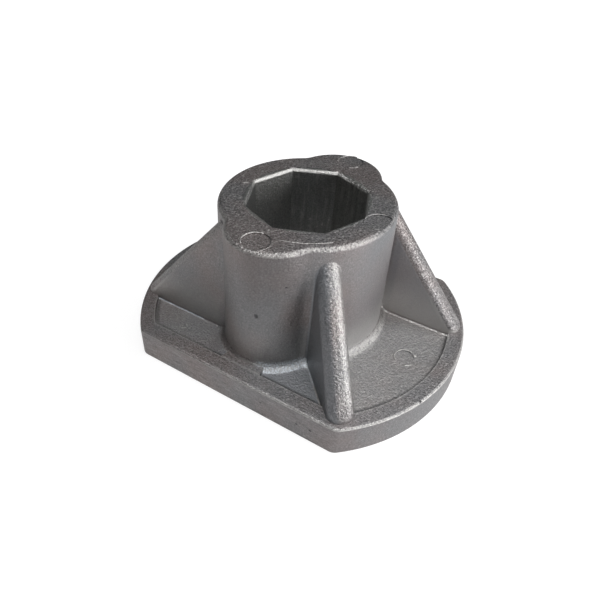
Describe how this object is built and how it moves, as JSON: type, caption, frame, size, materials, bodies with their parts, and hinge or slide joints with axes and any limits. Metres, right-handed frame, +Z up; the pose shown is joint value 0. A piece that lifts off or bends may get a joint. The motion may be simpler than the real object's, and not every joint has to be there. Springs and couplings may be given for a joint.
{
  "type": "mower blade adapter",
  "caption": "Cast hub that carries a rotary mower's blade: lobed boss with an eight-sided bore, on a flange with two flats, stiffened by sloping ribs.",
  "frame": {"origin": "on the shaft axis, in the flange's flat underside", "axes": "+Z up along the shaft axis, from the flange to the boss; X along the flange's two flats; -Y towards the flat that faces the viewer"},
  "size_m": [0.08, 0.06, 0.0372],
  "materials": {
    "cast_alloy": "as cast, shot blasted, dull warm grey"
  },
  "bodies": {
    "root": {"blade_adapter": "cast_alloy"}
  },
  "joints": []
}
